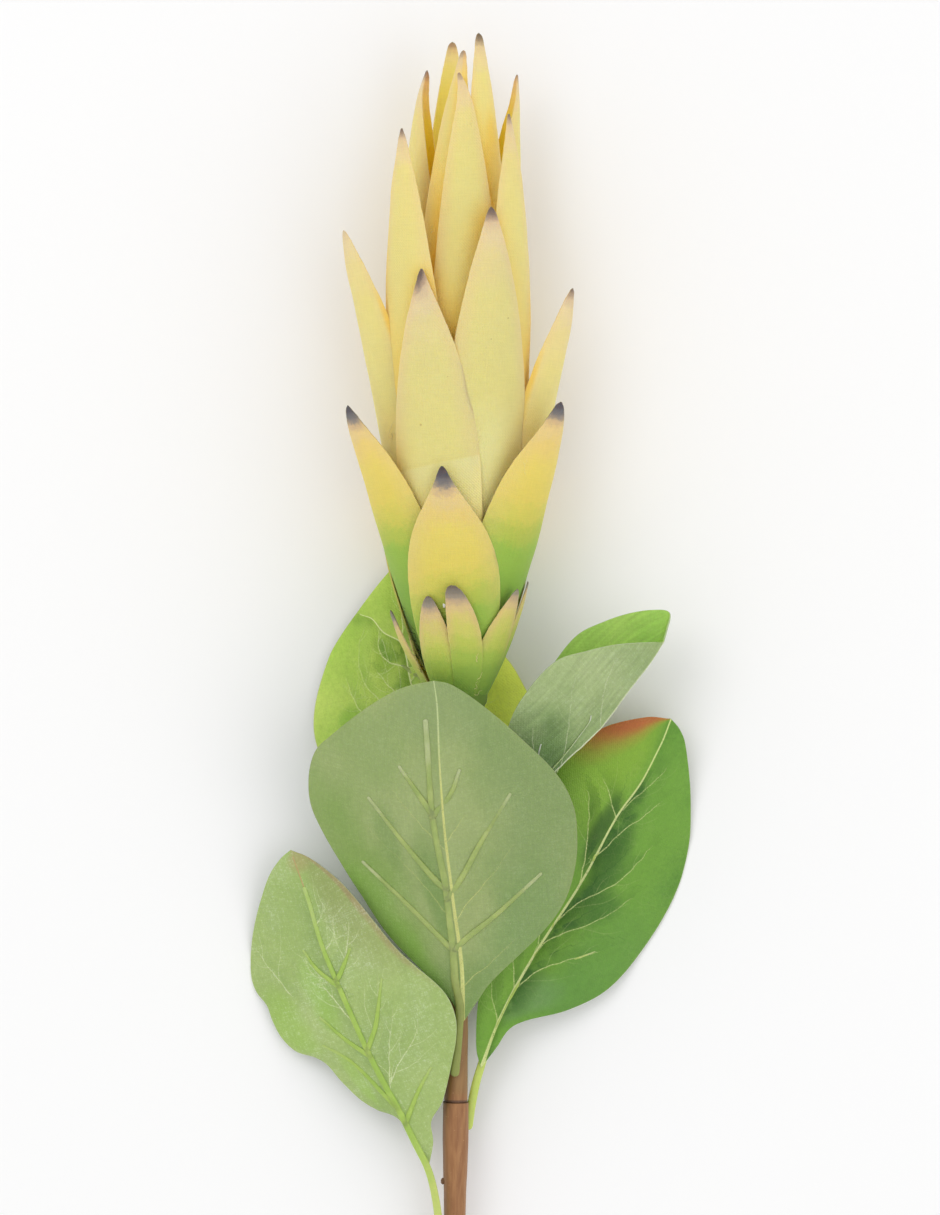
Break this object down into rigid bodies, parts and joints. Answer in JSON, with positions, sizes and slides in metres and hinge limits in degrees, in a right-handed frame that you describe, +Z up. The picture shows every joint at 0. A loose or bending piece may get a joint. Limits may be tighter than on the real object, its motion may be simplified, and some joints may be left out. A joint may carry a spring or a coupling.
{
  "type": "protea flower",
  "caption": "Artificial protea flower lying on its cut stem: a tall head of pointed yellow fabric bracts shading to green, with broad printed fabric leaves on moulded ribs.",
  "frame": {"origin": "middle of the footprint, on the surface that the stem lies on", "axes": "+Z up from the surface, +Y along the stem towards the tips of the bracts, +X to the right seen from above"},
  "size_m": [0.1247, 0.4371, 0.0491],
  "materials": {
    "yellow_fabric": "matt woven fabric, dyed yellow with grey tips",
    "green_yellow_fabric": "matt woven fabric, dyed yellow to green with grey tips",
    "basal_fabric": "matt woven fabric, dyed pink to green with grey tips",
    "leaf_fabric": "matt printed fabric with lighter veins",
    "rib_plastic": "moulded, satin",
    "stem_plastic": "moulded, satin brown"
  },
  "bodies": {
    "root": {"yellow_bracts": "yellow_fabric", "green_bracts": "green_yellow_fabric", "basal_bracts": "basal_fabric", "stem_upper": "stem_plastic", "stem_lower": "stem_plastic", "leaf_front_blade": "leaf_fabric", "leaf_front_rib": "rib_plastic", "leaf_lower_left_blade": "leaf_fabric", "leaf_lower_left_rib": "rib_plastic", "leaf_lower_right_blade": "leaf_fabric", "leaf_lower_right_rib": "rib_plastic", "leaf_upper_right_blade": "leaf_fabric", "leaf_upper_right_rib": "rib_plastic", "leaf_back_blade": "leaf_fabric", "leaf_back_rib": "rib_plastic"}
  },
  "joints": []
}
